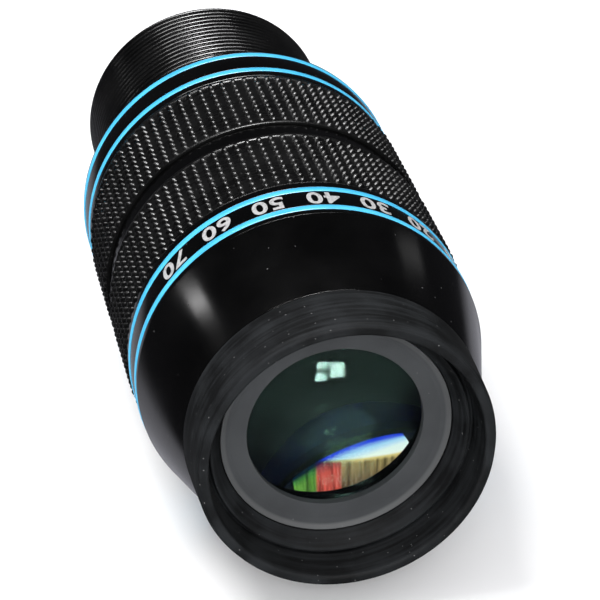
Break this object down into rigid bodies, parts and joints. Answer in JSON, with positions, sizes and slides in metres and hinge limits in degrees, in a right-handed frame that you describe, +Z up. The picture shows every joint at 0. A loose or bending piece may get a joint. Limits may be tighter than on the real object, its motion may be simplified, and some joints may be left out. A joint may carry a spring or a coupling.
{
  "type": "telescope eyepiece",
  "caption": "Long wide-field two-inch telescope eyepiece with fold-down rubber eyecup, studded rubber grips, blue ring lines and grooved barrel.",
  "frame": {"origin": "on the optical axis, in the plane of the shoulder that stops the eyepiece against a focuser", "axes": "+Y along the optical axis out of the barrel, -Y out of the eyecup, +Z up with the eyepiece lying on its side"},
  "size_m": [0.0649, 0.1386, 0.0648],
  "materials": {
    "eyecup_rubber": "matte soft rubber",
    "grip_rubber": "satin moulded rubber",
    "black_anodised": "satin black anodised",
    "barrel_black_metal": "bright black anodised",
    "matte_black_metal": "matte black anodised",
    "blue_anodised": "bright blue enamel",
    "marking_white": "white paint",
    "coated_glass": "polished with green coating"
  },
  "bodies": {
    "eyepiece": {"eyecup_skirt": "eyecup_rubber", "eyecup_base": "eyecup_rubber", "eye_retaining_ring": "matte_black_metal", "eye_cone": "black_anodised", "main_housing": "black_anodised", "accent_ring_1": "blue_anodised", "accent_ring_2": "blue_anodised", "accent_ring_3": "blue_anodised", "accent_ring_4": "blue_anodised", "front_grip_band": "grip_rubber", "rear_grip_band": "grip_rubber", "barrel_tube": "barrel_black_metal", "field_stop": "matte_black_metal", "eye_lens": "coated_glass", "middle_crown_lens": "coated_glass", "middle_flint_lens": "coated_glass", "field_crown_lens": "coated_glass", "field_flint_lens": "coated_glass", "lens_cell": "matte_black_metal", "lens_spacer": "matte_black_metal", "field_retaining_ring": "matte_black_metal"},
    "eyecup_rim": {"eyecup_lip": "eyecup_rubber"}
  },
  "joints": [
    {"name": "eyecup_fold", "type": "slide", "parent": "eyepiece", "child": "eyecup_rim", "axis": [0, 1, 0], "range_m": [0, 0.005], "deforming": ["eyecup_skirt"]}
  ]
}
